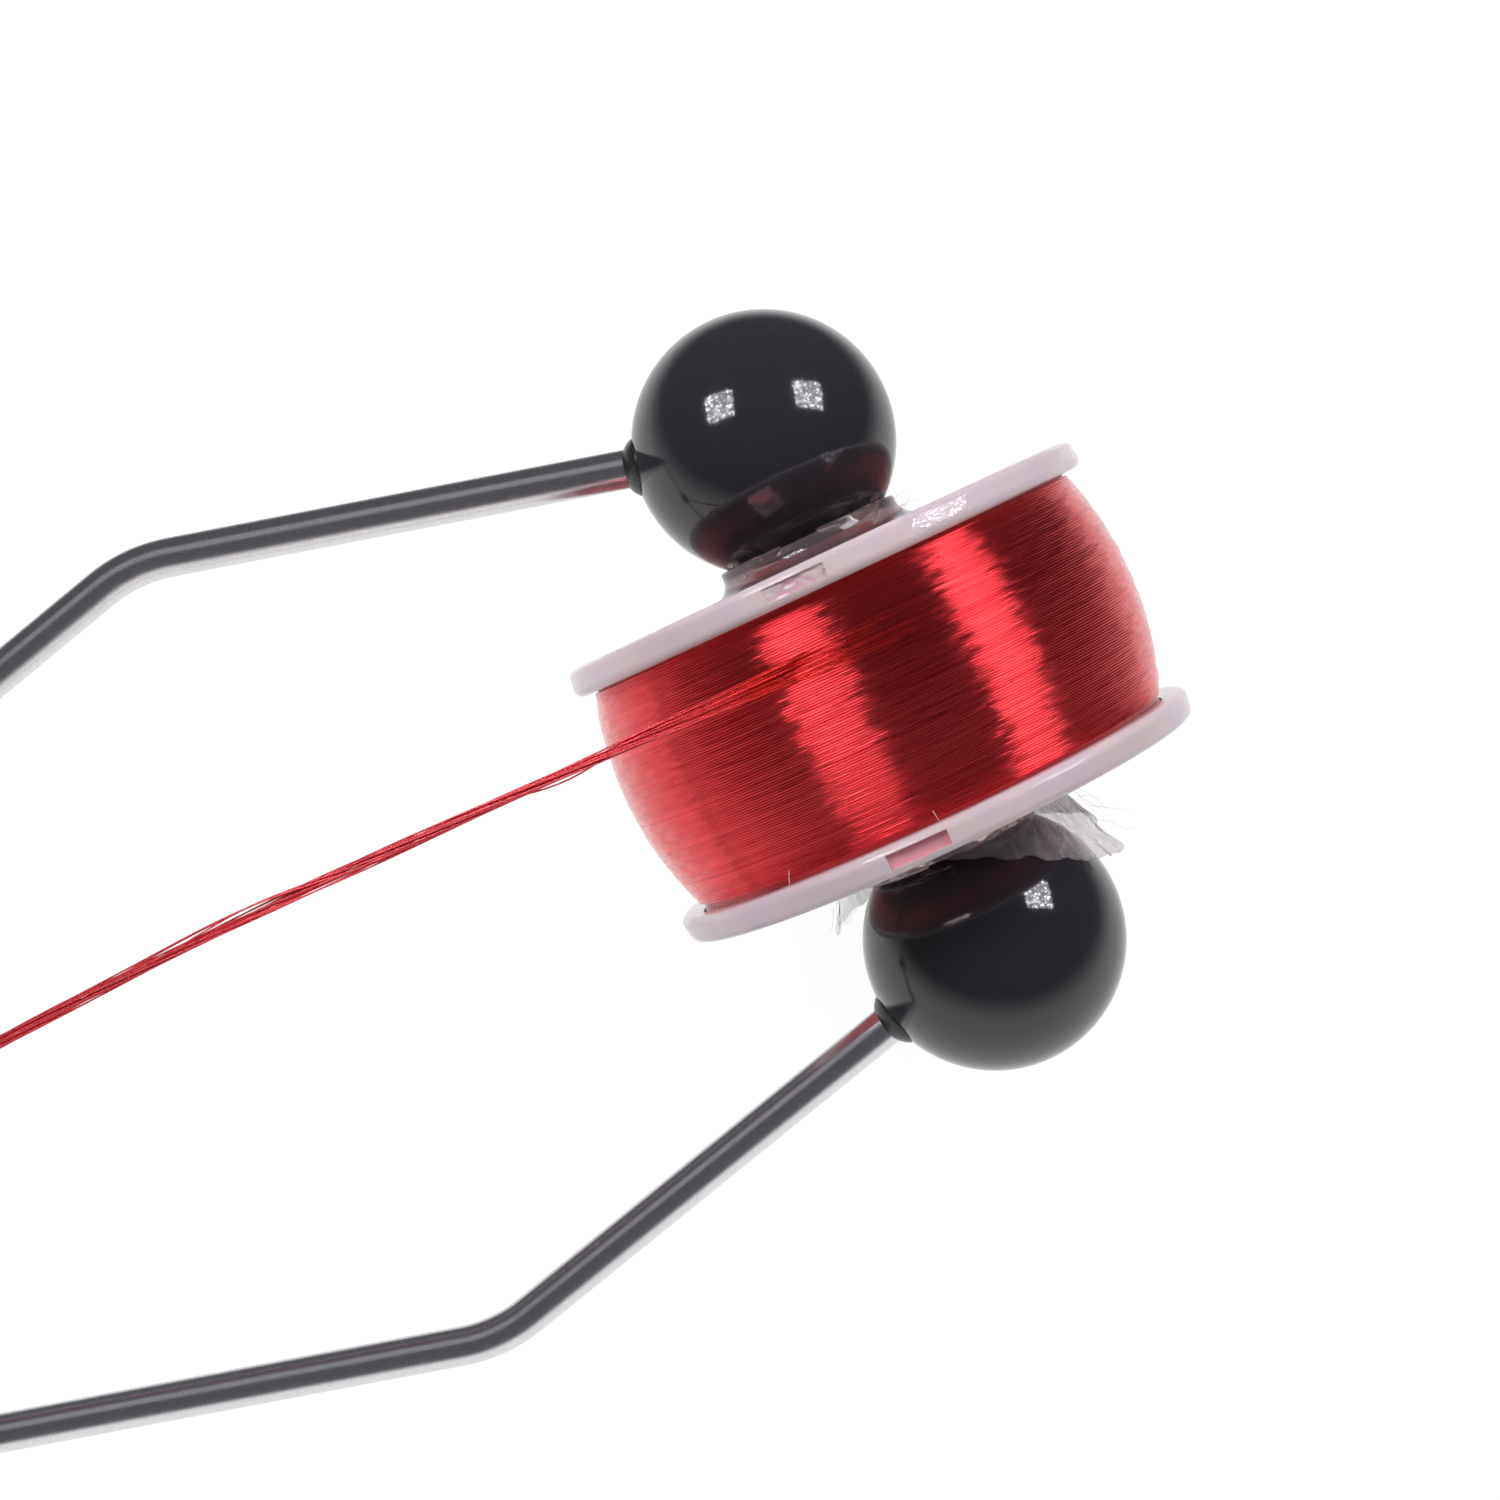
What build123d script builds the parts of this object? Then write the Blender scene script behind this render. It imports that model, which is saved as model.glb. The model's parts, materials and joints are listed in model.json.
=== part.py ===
from build123d import *
from math import acos, asin, atan2, cos, degrees, hypot, pi, radians, sin, sqrt, tan
import os

# A bobbin holder for fly tying: two spring wires with ball feet clamp a spool of thread.
# It is drawn flat first. +X runs along the barrel from the spool's axis to the tip, +Y to
# the left arm and +Z up. Then it is pitched to lie on a table, on the rims of the spool
# and the tip of the barrel, with the origin under the middle of its box.
# Lengths are in millimetres and angles in degrees.

# Ball feet
BALL_D = 12.0
BALL_SOCKET_DEPTH = 6.0
BEAD_W = 0.6
BEAD_H = 0.7
BEAD_BULGE = 0.06

# Spool of thread
FLANGE_D = 25.2
FLANGE_T = 1.3
WINDING_W = 10.9
HUB_WALL = 2.1
SPIGOT_L = 2.0
RIM_ROUND = 0.4
COLLAR_H = 1.1
COLLAR_LIP = 0.35
COLLAR_ROOT = 0.8
SEAT_D = 7.5
SEAT_DEPTH = 0.16
SEAT_LEDGE = 0.35
POCKET_W = 2.8
POCKET_DEPTH = 0.9
POCKET_LIP = 0.32
POCKET_TURN = 7.6
NOTCH_W = 1.8
NOTCH_DEPTH = 0.35

# Winding, with its crown a little off the middle
CROWN_BELOW_RIM = 0.05
CROWN_ARC = 15.4
CROWN_Y = -0.4
TURN_D = 0.4
TURN_EDGE = 0.15
TURN_COUNT = 11

# Torn label on the left end of the spool
LABEL_T = 0.15
LABEL_W = 2.4
LABEL_LIFT = 1.7

# Spring wire arms
WIRE_D = 1.8
BEND_X = 28.25
ARM_SPAN = 39.06
INNER_ANGLE = 14.3
SHOULDER_BACK = 15.0
ROOT_STRAIGHT = 3.0
BEND_R = 7.0
SHOULDER_R = 7.0
ROOT_R = 5.0
FLEX_MAX = 7.0

# Yoke that holds the wires and the barrel
YOKE_X = 70.0
YOKE_L = 10.0
YOKE_WALL = 0.7
YOKE_ROUND = 0.4
NOSE_L = 3.0
NOSE_WALL = 0.8
SOCKET_WALL = 0.5
SOCKET_END_WALL = 0.5
PIVOT_DEPTH = 1.2
FLARE_SPARE = 3.0
GROOVE_W = 0.6
GROOVE_DEPTH = 0.25
DIMPLE_D = 1.6
DIMPLE_DEPTH = 0.3

# Barrel and its ceramic rings
TUBE_D = 3.0
TUBE_WALL = 0.5
TUBE_L = 45.6
SHANK_STEP = 0.2
TUBE_BEHIND = 0.6
RING_LIP = 1.0
RING_STEM = 2.5
RING_BORE = 1.5
RING_ROUND = 0.4

# Free thread, flat drawing coordinates
LEAD_D = 0.5
LEAD_POINTS = [
    (2.4, -2.8, 12.6),
    (17.5, -3.05, 9.6),
    (33.5, -3.05, 6.35),
    (49.5, -2.15, 3.25),
    (65.5, -0.2, 0.45),
    (93.5, 0.1, -0.12),
    (109.5, 0.0, 0.05),
    (118.0, 0.12, -0.05),
    (125.5, 0.4, 0.0),
]
ARC_SHARE = 0.45

# Clearances
GLUE_GAP = 0.01
TUBE_FIT = 0.01
RING_FIT = 0.01
BALL_FIT = 0.02
SNAP_GAP = 0.03
WOUND_GAP = 0.02
TURN_GAP = 0.04
SEAT_GAP = 0.04
SOCKET_GAP = 0.05
TANG_GAP = 0.1
LABEL_GAP = 0.15

# Sizes that follow
ball_r = BALL_D / 2
flange_r = FLANGE_D / 2
wire_r = WIRE_D / 2
tube_r = TUBE_D / 2
shank_r = tube_r - SHANK_STEP
seat_r = SEAT_D / 2
seat_angle = acos(seat_r / ball_r)
seat_top_r = seat_r + SEAT_DEPTH * tan(seat_angle)
bore_r = seat_r - SEAT_LEDGE
hub_r = bore_r + HUB_WALL
spigot_r = bore_r + HUB_WALL / 2
collar_r = seat_top_r + COLLAR_LIP
half_wound = WINDING_W / 2
flange_out = half_wound + FLANGE_T
collar_out = flange_out + COLLAR_H
seat_y = collar_out - SEAT_DEPTH
ball_y = seat_y + sqrt(ball_r**2 - seat_r**2) + SEAT_GAP
core_crown_r = flange_r - CROWN_BELOW_RIM - TURN_D - TURN_GAP

socket_r = wire_r + SOCKET_GAP
root_y = shank_r + SOCKET_WALL + socket_r
yoke_r = root_y + socket_r + YOKE_WALL
nose_r = tube_r + NOSE_WALL
nose_x = YOKE_X + YOKE_L - NOSE_L
socket_end_x = nose_x - SOCKET_END_WALL
pivot_x = YOKE_X + PIVOT_DEPTH
root_bend_x = YOKE_X - ROOT_STRAIGHT
shoulder_x = YOKE_X - SHOULDER_BACK
bend_y = ARM_SPAN / 2
shoulder_y = bend_y - (shoulder_x - BEND_X) * tan(radians(INNER_ANGLE))

tube_rear_x = YOKE_X - TUBE_BEHIND
tube_front_x = tube_rear_x + TUBE_L
tip_x = tube_front_x + RING_LIP
tube_bore_r = tube_r - TUBE_WALL
ring_bore_r = RING_BORE / 2


def solid_of_revolution(outline):
    """Turns a closed outline of radius and height about +Z."""
    return revolve(Plane.XZ * outline, Axis.Z)


def corners_at(outline, radius, height=None):
    """The corners of an outline at a radius, and at a height where one is given."""
    found = [v for v in outline.vertices() if abs(v.X - radius) < 1e-6]
    if height is None:
        return found
    return [v for v in found if abs(v.Y - height) < 1e-6]


def along_spool(shape):
    """Lays a shape drawn about +Z along the spool's axis, +Y."""
    return Rot(-90, 0, 0) * shape


def along_barrel(shape):
    """Lays a shape drawn about +Z along the barrel, +X."""
    return Rot(0, 90, 0) * shape


def on_right(shape):
    """The same shape on the other side of the middle plane."""
    return mirror(shape, about=Plane.XZ)


# Spool


def spool_half(has_spigot):
    """A flange with half of the hub. One half has a spigot that snaps into the other."""
    seat_bottom = seat_y - (seat_r - bore_r) / tan(seat_angle)
    outside = [
        (hub_r, 0),
        (hub_r, half_wound),
        (flange_r, half_wound),
        (flange_r, flange_out),
        (collar_r, flange_out),
        (collar_r, collar_out),
        (seat_top_r, collar_out),
        (bore_r, seat_bottom),
    ]
    if has_spigot:
        inside = [(bore_r, -SPIGOT_L), (spigot_r, -SPIGOT_L), (spigot_r, 0)]
    else:
        socket = spigot_r + SNAP_GAP
        floor = SPIGOT_L + SNAP_GAP
        inside = [(bore_r, floor), (socket, floor), (socket, 0)]
    outline = make_face(Polyline(*outside, *inside, close=True))
    outline = fillet(corners_at(outline, flange_r), RIM_ROUND)
    outline = fillet(corners_at(outline, collar_r, flange_out), COLLAR_ROOT)
    half = along_spool(solid_of_revolution(outline))
    return half - rim_pocket() - collar_notch()


def rim_pocket():
    """The thread catch moulded into the rim."""
    height = FLANGE_T - 2 * POCKET_LIP
    pocket = Pos(0, flange_out - FLANGE_T / 2, flange_r) * Box(POCKET_W, height, 2 * POCKET_DEPTH)
    return Rot(0, POCKET_TURN, 0) * pocket


def collar_notch():
    """The gate mark in the lip of the collar, in line with the pocket."""
    middle = (seat_top_r + collar_r) / 2
    notch = Pos(0, collar_out, middle) * Box(NOTCH_W, 2 * NOTCH_DEPTH, NOTCH_W)
    return Rot(0, POCKET_TURN, 0) * notch


def wound_radius(y, proud=0.0):
    """Radius of the crowned winding at a place along the spool, or of a layer over it."""
    return core_crown_r - CROWN_ARC + sqrt((CROWN_ARC + proud) ** 2 - (y - CROWN_Y) ** 2)


def thread_core():
    """The inside of the winding, crowned because the spool is overfull."""
    inner = hub_r + WOUND_GAP
    end = half_wound - WOUND_GAP
    low = (wound_radius(-end), -end)
    high = (wound_radius(end), end)
    edges = [
        ThreePointArc(low, (core_crown_r, CROWN_Y), high),
        Line(high, (inner, end)),
        Line((inner, end), (inner, -end)),
        Line((inner, -end), low),
    ]
    return along_spool(solid_of_revolution(make_face(edges)))


turn_reach = half_wound - TURN_EDGE - TURN_D / 2
turn_pitch = 2 * turn_reach / TURN_COUNT


def turn_point(angle):
    """Middle of the outer thread after an angle of winding, in radians."""
    y = -turn_reach + turn_pitch * angle / (2 * pi)
    r = wound_radius(y, TURN_D / 2 + TURN_GAP)
    return Vector(r * cos(angle), y, -r * sin(angle))


def turn_direction(angle):
    step = 1e-4
    return (turn_point(angle + step) - turn_point(angle - step)).normalized()


def biarc(start, start_way, end, end_way):
    """Two arcs that leave one point and reach another in the given directions."""
    across = end - start
    ways = start_way + end_way
    a = 2 * (1 - start_way.dot(end_way))
    b = 2 * across.dot(ways)
    reach = (-b + sqrt(b * b + 4 * a * across.dot(across))) / (2 * a)
    near = start + start_way * reach
    far = end - end_way * reach
    middle = (near + far) * 0.5
    first = TangentArc(start, middle, tangent=start_way)
    second = TangentArc(middle, end, tangent=(far - near).normalized())
    return [first, second]


def thread_turns():
    """The outer layer of the winding, one unbroken thread with straight ends."""
    half_turns = [pi * i for i in range(2 * TURN_COUNT + 1)]
    points = [turn_point(angle) for angle in half_turns]
    ways = [turn_direction(angle) for angle in half_turns]
    edges = [Line(points[0] - ways[0] * TURN_D, points[0])]
    for i in range(2 * TURN_COUNT):
        edges += biarc(points[i], ways[i], points[i + 1], ways[i + 1])
    edges.append(Line(points[-1], points[-1] + ways[-1] * TURN_D))
    section = Plane(points[0] - ways[0] * TURN_D, z_dir=ways[0]) * Circle(TURN_D / 2)
    return sweep(section, path=Wire(edges))


def least_turn_gap():
    """The least gap between neighbouring turns, measured on points."""
    steps = 48
    points = [turn_point(2 * pi * i / steps) for i in range(steps * TURN_COUNT + 1)]
    gaps = []
    for i, point in enumerate(points):
        for other in points[i + steps // 2 : i + 3 * steps // 2]:
            gaps.append((other - point).length)
    return min(gaps) - TURN_D


def torn_label():
    """What is left of the paper label, lifted off the flange round the ball."""
    inner = collar_r + COLLAR_ROOT + LABEL_GAP
    outer = inner + LABEL_W
    rise = hypot(LABEL_W, LABEL_LIFT)
    across = LABEL_T * LABEL_LIFT / rise
    up = LABEL_T * LABEL_W / rise
    outline = make_face(
        Polyline(
            (inner + LABEL_T, flange_out),
            (outer, flange_out + LABEL_LIFT),
            (outer - across, flange_out + LABEL_LIFT + up),
            (inner, flange_out + LABEL_T),
            (inner, flange_out),
            close=True,
        )
    )
    return along_spool(solid_of_revolution(outline))


# Arms, drawn on the left

wire_lean = atan2(bend_y - ball_y, BEND_X)
wire_way = Vector(cos(wire_lean), sin(wire_lean), 0)
ball_centre = Vector(0, ball_y, 0)
wire_end = ball_centre + wire_way * (ball_r - BALL_SOCKET_DEPTH)


def along_wire(shape):
    """Lays a shape drawn about +Z along the wire where it leaves the ball."""
    return Plane(ball_centre, z_dir=wire_way) * shape


def arm_wire():
    """The spring wire from the ball to its rounded end in the yoke."""
    path = FilletPolyline(
        wire_end,
        (BEND_X, bend_y, 0),
        (shoulder_x, shoulder_y, 0),
        (root_bend_x, root_y, 0),
        (pivot_x, root_y, 0),
        radius=[BEND_R, SHOULDER_R, ROOT_R],
    )
    wire = sweep(Plane(wire_end, z_dir=wire_way) * Circle(wire_r), path=path)
    return wire + Pos(pivot_x, root_y, 0) * Sphere(wire_r)


def arm_tang():
    """The end of the wire that stays crimped in the yoke."""
    start = pivot_x + wire_r + TANG_GAP
    tang = Cylinder(wire_r, socket_end_x - start, align=(Align.CENTER, Align.CENTER, Align.MIN))
    return Pos(start, root_y, 0) * along_barrel(tang)


def ball():
    """The ball foot, drilled for the wire."""
    hole_end = ball_r - BALL_SOCKET_DEPTH - GLUE_GAP
    hole = Cylinder(wire_r + BALL_FIT, BALL_D, align=(Align.CENTER, Align.CENTER, Align.MIN))
    return along_wire(Sphere(ball_r) - Pos(0, 0, hole_end) * hole)


def glue_bead():
    """The ring of adhesive in the corner between wire and ball."""
    inner = wire_r + GLUE_GAP
    outer = inner + BEAD_W
    surface = ball_r + GLUE_GAP
    low = sqrt(surface**2 - inner**2)
    edge = sqrt(surface**2 - outer**2)
    top = low + BEAD_H
    outward = Vector(top - edge, BEAD_W).normalized()
    crest = Vector((inner + outer) / 2, (top + edge) / 2) + outward * BEAD_BULGE
    waist = surface * sin(acos((inner + BEAD_W / 2) / surface))
    edges = [
        ThreePointArc((inner, top), crest, (outer, edge)),
        ThreePointArc((outer, edge), (inner + BEAD_W / 2, waist), (inner, low)),
        Line((inner, low), (inner, top)),
    ]
    return along_wire(solid_of_revolution(make_face(edges)))


# Barrel


def yoke():
    """The turned collar, with a bore for the tube and a socket for each wire."""
    outline = make_face(
        Polyline(
            (shank_r + TUBE_FIT, 0),
            (yoke_r, 0),
            (yoke_r, nose_x - YOKE_X),
            (nose_r, YOKE_L),
            (shank_r + TUBE_FIT, YOKE_L),
            close=True,
        )
    )
    outline = fillet(corners_at(outline, yoke_r), YOKE_ROUND)
    outline = fillet(corners_at(outline, nose_r), YOKE_ROUND)
    block = solid_of_revolution(outline)
    straight = nose_x - YOKE_X
    for height in (straight / 4, straight * 3 / 4):
        groove = Cylinder(yoke_r + GROOVE_DEPTH, GROOVE_W) - Cylinder(yoke_r - GROOVE_DEPTH, GROOVE_W)
        block -= Pos(0, 0, height) * groove
    block = Pos(YOKE_X, 0, 0) * along_barrel(block)
    for side in (1, -1):
        block -= wire_socket(side) + crimp_dimple(side)
    return block


def wire_socket(side):
    """The hole for a wire, flared at its mouth so that the arm can spring outward."""
    flare_r = socket_r + PIVOT_DEPTH * tan(radians(FLEX_MAX + FLARE_SPARE))
    to_top = (Align.CENTER, Align.CENTER, Align.MIN)
    hole = Cylinder(socket_r, socket_end_x - YOKE_X, align=to_top)
    hole += Cone(flare_r, socket_r, PIVOT_DEPTH, align=to_top)
    return Pos(YOKE_X, side * root_y, 0) * along_barrel(hole)


def crimp_dimple(side):
    """The punch mark over the crimped end of a wire."""
    dimple_r = DIMPLE_D / 2
    middle_x = (pivot_x + wire_r + socket_end_x) / 2
    reach = yoke_r + dimple_r - DIMPLE_DEPTH
    return Pos(middle_x, side * reach, 0) * Sphere(dimple_r)


def barrel_tube():
    """The tube, turned down behind a shoulder that seats on the nose of the yoke."""
    shoulder = YOKE_X + YOKE_L - tube_rear_x
    outline = make_face(
        Polyline(
            (tube_bore_r, 0),
            (shank_r, 0),
            (shank_r, shoulder),
            (tube_r, shoulder),
            (tube_r, TUBE_L),
            (tube_bore_r, TUBE_L),
            close=True,
        )
    )
    return Pos(tube_rear_x, 0, 0) * along_barrel(solid_of_revolution(outline))


def ceramic_ring():
    """A ring with a stem for the tube below it and a rounded lip above."""
    stem_r = tube_bore_r - RING_FIT
    outline = make_face(
        Polyline(
            (ring_bore_r, -RING_STEM),
            (stem_r, -RING_STEM),
            (stem_r, 0),
            (tube_r, 0),
            (tube_r, RING_LIP),
            (ring_bore_r, RING_LIP),
            close=True,
        )
    )
    outline = fillet(corners_at(outline, tube_r, RING_LIP), RING_ROUND)
    bore_round = min(RING_ROUND, tube_r - ring_bore_r - RING_ROUND - GLUE_GAP)
    outline = fillet(corners_at(outline, ring_bore_r, RING_LIP), bore_round)
    return solid_of_revolution(outline)


def tip_ring():
    return Pos(tube_front_x, 0, 0) * along_barrel(ceramic_ring())


def rear_ring():
    return Pos(tube_rear_x, 0, 0) * Rot(0, -90, 0) * ceramic_ring()


# Free thread


def lead_radii():
    """The radius of each bend, as large as its two runs allow."""
    points = [Vector(*p) for p in LEAD_POINTS]
    radii = []
    for before, here, after in zip(points, points[1:], points[2:]):
        turn = radians((here - before).get_angle(after - here))
        run = min((here - before).length, (after - here).length)
        radii.append(ARC_SHARE * run / tan(turn / 2))
    return radii


def thread_lead():
    radii = lead_radii()
    path = FilletPolyline(*LEAD_POINTS, radius=radii)
    start = Vector(*LEAD_POINTS[0])
    way = Vector(*LEAD_POINTS[1]) - start
    lead = sweep(Plane(start, z_dir=way) * Circle(LEAD_D / 2), path=path)
    section = pi * (LEAD_D / 2) ** 2
    print("thread_lead radii", [round(r, 1) for r in radii])
    print("thread_lead length", round(path.length, 2))
    print("thread_lead volume share", round(lead.volume / (section * path.length), 4))
    return lead


# Assembly

flat = {
    "barrel_tube": barrel_tube(),
    "tip_ring": tip_ring(),
    "rear_ring": rear_ring(),
    "yoke": yoke(),
    "left_arm_tang": arm_tang(),
    "right_arm_tang": on_right(arm_tang()),
    "left_arm_wire": arm_wire(),
    "right_arm_wire": on_right(arm_wire()),
    "left_ball": ball(),
    "right_ball": on_right(ball()),
    "left_glue_bead": glue_bead(),
    "right_glue_bead": on_right(glue_bead()),
    "spool_half_left": spool_half(has_spigot=False),
    "spool_half_right": on_right(spool_half(has_spigot=True)),
    "thread_core": thread_core(),
    "thread_turns": thread_turns(),
    "torn_label": torn_label(),
    "thread_lead": thread_lead(),
}
print("least gap between turns", round(least_turn_gap(), 3))

# The pitch that brings the rounded lip of the tip down to the table
lip_x = tip_x - RING_ROUND
lip_r = tube_r - RING_ROUND
drop = flange_r - RING_ROUND
pitch = degrees(asin(drop / hypot(lip_x, lip_r)) - atan2(lip_r, lip_x))
pitched = {name: Pos(0, 0, flange_r) * Rot(0, pitch, 0) * shape for name, shape in flat.items()}

# The middle of the object's box, without the thread that only hangs on it
boxes = [shape.bounding_box() for name, shape in pitched.items() if name != "thread_lead"]
middle_x = (min(box.min.X for box in boxes) + max(box.max.X for box in boxes)) / 2
print("pitch", round(pitch, 4), "middle of the box", round(middle_x, 4))

os.makedirs("parts", exist_ok=True)
for name, shape in pitched.items():
    export_step(Pos(-middle_x, 0, 0) * shape, f"parts/{name}.step")
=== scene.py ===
import json
import math
import random

import bmesh
import bpy
from mathutils import Matrix, Vector, noise


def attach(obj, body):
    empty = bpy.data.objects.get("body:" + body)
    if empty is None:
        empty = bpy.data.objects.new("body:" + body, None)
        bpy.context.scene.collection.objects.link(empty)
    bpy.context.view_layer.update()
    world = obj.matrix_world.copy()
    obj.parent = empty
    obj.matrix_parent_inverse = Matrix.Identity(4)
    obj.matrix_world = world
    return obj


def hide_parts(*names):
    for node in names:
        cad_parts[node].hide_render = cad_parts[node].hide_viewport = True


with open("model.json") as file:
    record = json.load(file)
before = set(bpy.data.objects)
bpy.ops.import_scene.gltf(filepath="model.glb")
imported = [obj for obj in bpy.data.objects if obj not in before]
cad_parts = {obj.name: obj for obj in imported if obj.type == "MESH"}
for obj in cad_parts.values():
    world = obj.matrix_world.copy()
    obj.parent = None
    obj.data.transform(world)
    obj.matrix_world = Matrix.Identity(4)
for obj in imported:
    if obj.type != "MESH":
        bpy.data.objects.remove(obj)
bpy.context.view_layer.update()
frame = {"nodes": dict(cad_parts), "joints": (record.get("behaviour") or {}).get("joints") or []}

# A bobbin holder for fly tying. Sizes are in millimetres, in the drawing frame of the tool:
# +X runs along the barrel from the spool's axis to the tip, +Y along the spool's axis to the
# left arm and +Z up, square to both. DRAWN takes a drawn point to the model's frame in metres.

joints = {joint["name"]: joint for joint in frame["joints"]}
MM = 0.001
ACROSS = Vector(joints["spool_spin"]["axis"])
UPWARD = Vector(joints["right_arm_flex"]["axis"])
ALONG = ACROSS.cross(UPWARD)
TURNED = Matrix((ALONG, ACROSS, UPWARD)).transposed()
DRAWN = Matrix.Translation(joints["spool_spin"]["pos_m"]) @ TURNED.to_4x4() @ Matrix.Scale(MM, 4)
SEED = 7
dice = random.Random(SEED)
noise.seed_set(SEED)

# Ball feet
BALL_R = 6.0
BALL_Y = 12.4137
BALL_SEGMENTS = 128
AXIS_R = 0.001
HOLE_R = 0.92
HOLE_ROUND = 0.12
HOLE_STEPS = 5

# Glue beads: a ring in the corner of wire and ball, with its hidden part inside both
BEAD_W = 0.22
BEAD_H = 0.24
BEAD_FRONT = 0.5
BEAD_RISE = 0.2
BEAD_LUMP = 0.06
BEAD_LUMPS = 1.3
BEAD_FULL = 0.7
BEAD_GAP = 0.004
BEAD_LAP = 0.05
BEAD_TUCK = 0.02
BEAD_DEPTH = 0.6
BEAD_STEPS = 12
BEAD_SEGMENTS = 96

# Spring wire arms: the corners of the left one, by X and Y
WIRE_R = 0.9
WIRE_START = 0.05
BEND = (28.25, 19.53)
SHOULDER = (55.0, 12.712)
ROOT_BEND = (67.0, 2.75)
PIVOT = (71.2, 2.75)
BEND_RADII = (7.0, 7.0, 5.0)
BEND_STEP = 2.0
WIRE_SIDES = 36
WIRE_END_STEPS = 6
WIRE_END_FLAT = 0.2

# Spool: both halves have the same sizes
FLANGE_R = 12.6
FLANGE_T = 1.3
RIM_ROUND = 0.4
RIM_DRAFT = 0.2
HALF_WOUND = 5.45
HUB_R = 5.5
HUB_FILLET = 0.15
SPIGOT_R = 4.45
SPIGOT_L = 2.0
SNAP_GAP = 0.03
BORE_R = 3.4
EDGE_ROUND = 0.1
SEAT_R = 3.75
SEAT_TOP_R = 3.95
SEAT_DEPTH = 0.16
SEAT_ROUND = 0.05
COLLAR_R = 4.3
COLLAR_H = 1.1
COLLAR_ROOT = 0.8
COLLAR_ROUND = 0.12
POCKET_W = 2.8
POCKET_H = 0.66
POCKET_DEPTH = 0.4
POCKET_TURN = 7.6
NOTCH_W = 1.8
NOTCH_DEPTH = 0.12
BUMP_GRID = (14, 5)
BUMP_HEIGHTS = (0.06, 0.2)
BUMP_SUNK = 0.05
SPOOL_SEGMENTS = 192
OUTLINE_STEP = 12.0

# Spool plastic: clear and milky by the distance from the axis, and a painted glow in the pocket by
# the height from its floor, where it fades in and out again
CLEAR_TO = 11.2
MILKY_FROM = 11.9
POCKET_FADE_IN = (-0.06, -0.02)
POCKET_FADE_OUT = (0.08, 0.11)
POCKET_TRIM = 0.02
# Painted glow: pink that stands in for the red winding seen through the clear pocket floor
LEFT_POCKET_PAINTED_GLOW = (1.0, 0.46, 0.52, 1)
RIGHT_POCKET_PAINTED_GLOW = (1.0, 0.66, 0.72, 1)

# Winding: FILAMENT_DIPS is the outline of one filament, and each of WAVES is a height, with its
# length along the filaments and across them
CROWN_R = 12.5
CROWN_ARC = 15.8
CROWN_Y = -0.4
WINDING_GAP = 0.06
FILAMENT_PITCH = 0.115
FILAMENT_DIPS = (0.03, 0.0115, 0.0027, 0.0, 0.0027, 0.0115)
FILAMENT_SEGMENTS = 300
WAVES = ((0.034, 1.1, 0.13), (0.03, 3.5, 0.5))
WANDER = 0.012
WANDER_ROUND = 3
WANDER_ACROSS = 0.12
TONE = 0.6
TONE_ROUND = 0.35
TONE_ACROSS = 0.16
TONE_SEED = 3.0
CORE_GAP = 0.02
CORE_DEPTH = 0.1
CORE_STEPS = 12
CORE_SHADE = 0.2

# Free thread: the route's points, and the filaments in it
LEAD_POINTS = [
    (2.1, -2.81, 12.2),
    (17.5, -3.05, 9.6),
    (33.5, -3.05, 6.35),
    (49.5, -2.15, 3.25),
    (65.5, -0.2, 0.45),
    (93.5, 0.1, -0.12),
    (109.5, 0.0, 0.05),
    (118.0, 0.12, -0.05),
    (125.5, 0.4, 0.0),
]
LEAD_STEPS = 40
LEAD_W = 0.6
LEAD_T = 0.44
LEAD_OPEN_L = 8.0
LEAD_STRAIGHT = 5.0
LEAD_TWIST = 34.0
LEAD_STRAY = 0.14
LEAD_STRAY_L = 14.0
LEAD_FILAMENTS = 19
FILAMENT_R = 0.042
FILAMENT_SIDES = 6
LEAD_FAN = 0.6
LEAD_FAN_L = 10.0
LEAD_DIVE = 0.18
LEAD_DIVE_L = 3.0

# Filaments that run loose: which one, the middle and half of the loose length, and how far aside
LEAD_LOOSE = (
    (5, 12.0, 4.5, 0.34),
    (11, 28.5, 9.0, -0.4),
    (14, 28.0, 8.0, -0.37),
    (8, 27.0, 7.0, -0.38),
)

# Last strand on the winding, by angles from +Z towards +X and places along the spool
CROSSING_BACK = 12.0
CROSSING_END = -4.0
CROSSING_RAGGED = 22.0
CROSSING_NARROW = 0.22
CROSSING_SHIFTS = (-0.04, 0.15)
CROSSING_SPREAD = (0.2, 0.7)
CROSSING_LIFT = 0.03
LAID_STEPS = 60
LAID_DRIFT = 0.06
LAID_SINK = 0.09
LAID_SINK_FROM = 0.5
LAID_START = 0.12

# Loose thread's colour: as the winding up to LAID_TO from the axis, and lighter from FREE_FROM, where
# the lighter colour is painted light shining through the thread
LAID_TO = 12.7
FREE_FROM = 15.0

# Torn film on the left end
FILM_FOOT_R = 5.25
FILM_FOOT_Y = 6.79
FILM_GAP = 0.12
FILM_T = 0.03
FILM_COLUMNS = 320
FILM_ROWS = 14
FILM_TEARS = ((0.12, 4.4), (0.09, 10.0), (0.025, 34.0))
FILM_FOLD = 0.16
FILM_FOLDS = 8.0
FILM_FOLD_CHANGE = 0.4

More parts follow.
